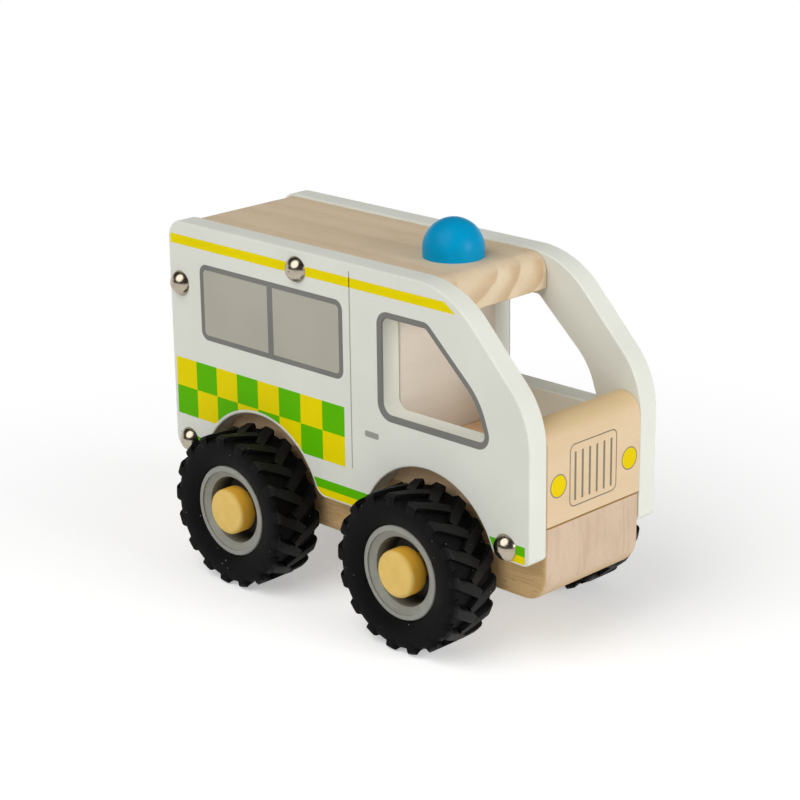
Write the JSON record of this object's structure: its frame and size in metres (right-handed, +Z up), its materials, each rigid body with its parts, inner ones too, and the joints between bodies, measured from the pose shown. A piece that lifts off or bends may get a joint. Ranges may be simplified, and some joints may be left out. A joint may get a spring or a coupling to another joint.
{
  "type": "toy ambulance",
  "caption": "Wooden push-along toy ambulance with painted side panels, an open cab, a blue beacon and rubber tyres that turn on steel axles",
  "frame": {"origin": "on the floor, under the middle of the toy's length and width", "axes": "+X forward along the toy, +Y to its left, +Z up"},
  "size_m": [0.13, 0.072, 0.1035],
  "materials": {
    "beech": "sanded, bare",
    "pine": "sanded, bare",
    "white_paint": "satin paint with printed stripes",
    "blue_plastic": "gloss lacquer",
    "nickel": "nickel plated",
    "steel": "drawn wire",
    "grey_plastic": "moulded",
    "black_rubber": "moulded, dusty",
    "tan_plastic": "moulded"
  },
  "bodies": {
    "body": {"chassis": "beech", "floor_board": "pine", "nose_board": "pine", "bulkhead": "pine", "rear_wall": "pine", "roof": "pine", "right_panel": "white_paint", "left_panel": "white_paint", "beacon": "blue_plastic", "beacon_dowel": "pine", "right_nails": "nickel", "left_nails": "nickel"},
    "front_axle_set": {"front_axle": "steel", "front_right_cap": "tan_plastic", "front_left_cap": "tan_plastic"},
    "rear_axle_set": {"rear_axle": "steel", "rear_right_cap": "tan_plastic", "rear_left_cap": "tan_plastic"},
    "front_right_wheel": {"front_right_rim": "grey_plastic", "front_right_tyre": "black_rubber"},
    "front_left_wheel": {"front_left_rim": "grey_plastic", "front_left_tyre": "black_rubber"},
    "rear_right_wheel": {"rear_right_rim": "grey_plastic", "rear_right_tyre": "black_rubber"},
    "rear_left_wheel": {"rear_left_rim": "grey_plastic", "rear_left_tyre": "black_rubber"}
  },
  "joints": [
    {"name": "front_axle_turn", "type": "hinge", "parent": "body", "child": "front_axle_set", "pos_m": [0.031, 0, 0.0211], "axis": [0, 1, 0], "continuous": true},
    {"name": "rear_axle_turn", "type": "hinge", "parent": "body", "child": "rear_axle_set", "pos_m": [-0.032, 0, 0.0211], "axis": [0, 1, 0], "continuous": true},
    {"name": "front_right_wheel_turn", "type": "hinge", "parent": "front_axle_set", "child": "front_right_wheel", "pos_m": [0.031, -0.0282, 0.0211], "axis": [0, 1, 0], "continuous": true},
    {"name": "front_left_wheel_turn", "type": "hinge", "parent": "front_axle_set", "child": "front_left_wheel", "pos_m": [0.031, 0.0282, 0.0211], "axis": [0, 1, 0], "continuous": true},
    {"name": "rear_right_wheel_turn", "type": "hinge", "parent": "rear_axle_set", "child": "rear_right_wheel", "pos_m": [-0.032, -0.0282, 0.0211], "axis": [0, 1, 0], "continuous": true},
    {"name": "rear_left_wheel_turn", "type": "hinge", "parent": "rear_axle_set", "child": "rear_left_wheel", "pos_m": [-0.032, 0.0282, 0.0211], "axis": [0, 1, 0], "continuous": true}
  ]
}
